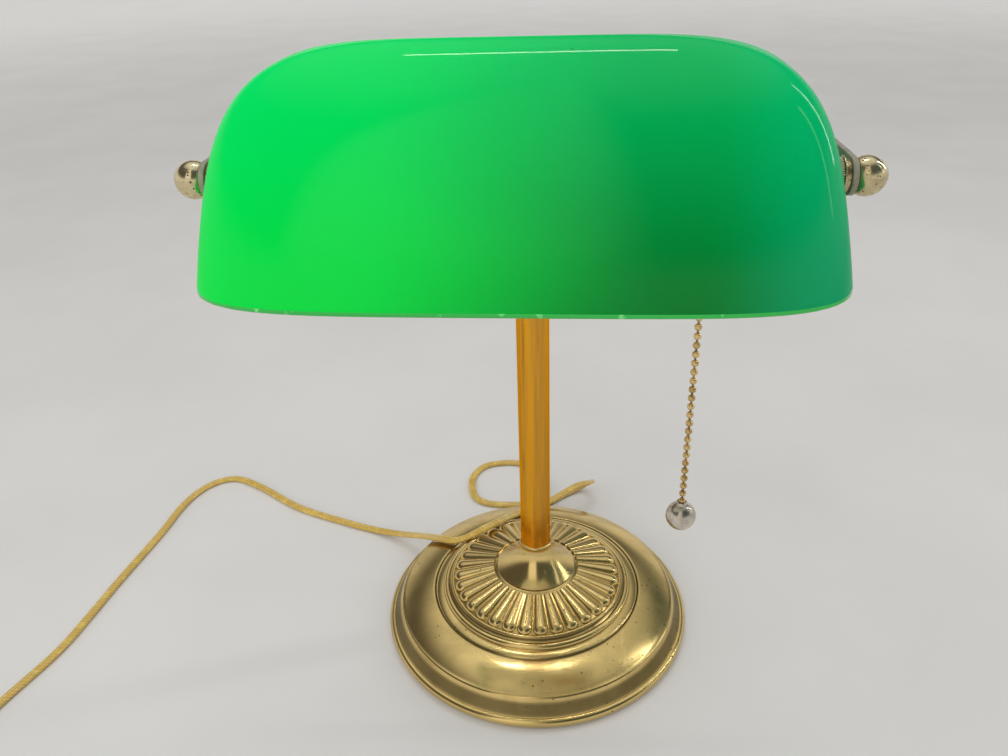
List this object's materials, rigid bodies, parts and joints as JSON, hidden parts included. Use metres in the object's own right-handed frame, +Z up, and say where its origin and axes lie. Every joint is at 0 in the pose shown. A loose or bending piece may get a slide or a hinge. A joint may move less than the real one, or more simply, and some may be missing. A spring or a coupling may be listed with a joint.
{
  "type": "bankers lamp",
  "caption": "Bankers lamp with a green glass shade that tilts between two ball finials, a pull chain switch, a plain stem and a fluted round base.",
  "frame": {"origin": "on the table under the stem's axis, at the middle of the felt pad", "axes": "+Z up along the stem, +X along the shade to its pull chain end, -Y to the shade's front"},
  "size_m": [0.5144, 0.3243, 0.3433],
  "materials": {
    "felt": "felt, dark green",
    "cast_iron": "raw casting",
    "antique_brass": "tarnished antique brass",
    "stem_brass": "lacquered brass with small pits",
    "bright_brass": "bright brass",
    "yoke_bronze": "dull brown plated strip",
    "zinc_steel": "zinc plated",
    "nickel": "nickel plated",
    "green_glass": "glossy cased green over white",
    "bulb_white": "frosted white",
    "bulb_aluminium": "rolled thread",
    "black_rubber": "satin",
    "black_plastic": "satin",
    "gold_cord": "clear gold jacket over copper",
    "liner_paper": "fibre paper",
    "brown_bakelite": "moulded phenolic"
  },
  "bodies": {
    "stand": {"felt_pad": "felt", "base_weight": "cast_iron", "base_cover": "antique_brass", "base_washer": "zinc_steel", "base_nut": "zinc_steel", "lamp_pipe": "zinc_steel", "stem_skirt": "antique_brass", "stem_collar": "antique_brass", "stem_bushing": "zinc_steel", "stem_tube": "stem_brass", "stem_head": "antique_brass", "yoke": "yoke_bronze", "yoke_screw": "antique_brass", "lead_bushing": "black_plastic", "inner_lead": "gold_cord", "right_nipple": "zinc_steel", "left_stud": "zinc_steel", "inner_nuts": "zinc_steel", "knurled_nuts": "antique_brass", "neck_spacers": "antique_brass", "socket_cap": "bright_brass", "cap_screw": "zinc_steel", "socket_shell": "bright_brass", "socket_liner": "liner_paper", "switch_body": "brown_bakelite", "terminal_screws": "bright_brass", "screw_shell": "bright_brass", "centre_contact": "bright_brass", "chain_guide": "bright_brass", "bulb_glass": "bulb_white", "bulb_cap": "bulb_aluminium", "strain_relief": "black_rubber", "cord": "gold_cord", "cord_coil": "gold_cord", "coil_tie": "black_plastic", "plug_body": "black_plastic", "plug_blades": "bright_brass"},
    "shade": {"glass_shade": "green_glass", "grommets": "black_rubber", "seat_washers": "bright_brass"},
    "right_finial": {"right_finial": "bright_brass"},
    "left_finial": {"left_finial": "bright_brass"},
    "pull": {"pull_link": "bright_brass"},
    "top_bead": {"top_bead": "bright_brass"},
    "chain": {"pull_chain": "bright_brass", "pull_ball": "nickel"},
    "cam": {"switch_cam": "zinc_steel"}
  },
  "joints": [
    {"name": "shade_tilt", "type": "hinge", "parent": "stand", "child": "shade", "pos_m": [0, -0.077, 0.294], "axis": [1, 0, 0], "range_deg": [-20, 30]},
    {"name": "right_finial_turn", "type": "hinge", "parent": "stand", "child": "right_finial", "pos_m": [0.1249, -0.077, 0.294], "axis": [1, 0, 0], "range_deg": [0, 180]},
    {"name": "left_finial_turn", "type": "hinge", "parent": "stand", "child": "left_finial", "pos_m": [-0.1249, -0.077, 0.294], "axis": [-1, 0, 0], "range_deg": [0, 180]},
    {"name": "chain_pull", "type": "slide", "parent": "stand", "child": "pull", "axis": [0, 0, -1], "range_m": [0, 0.0063], "stiffness_N_per_m": 600, "springref_m": -0.002},
    {"name": "cam_turn", "type": "hinge", "parent": "stand", "child": "cam", "pos_m": [0.0705, -0.072, 0.294], "axis": [1, 0, 0], "range_deg": [0, 91]},
    {"name": "bead_swing", "type": "hinge", "parent": "pull", "child": "top_bead", "pos_m": [0.0705, -0.077, 0.26615], "axis": [1, 0, 0], "range_deg": [-25, 25]},
    {"name": "chain_swing", "type": "hinge", "parent": "top_bead", "child": "chain", "pos_m": [0.0705, -0.077, 0.26615], "axis": [0, 1, 0], "range_deg": [-25, 25]}
  ],
  "couplings": [
    {"joint": "cam_turn", "follows": "chain_pull", "rad_per_m": 250}
  ]
}
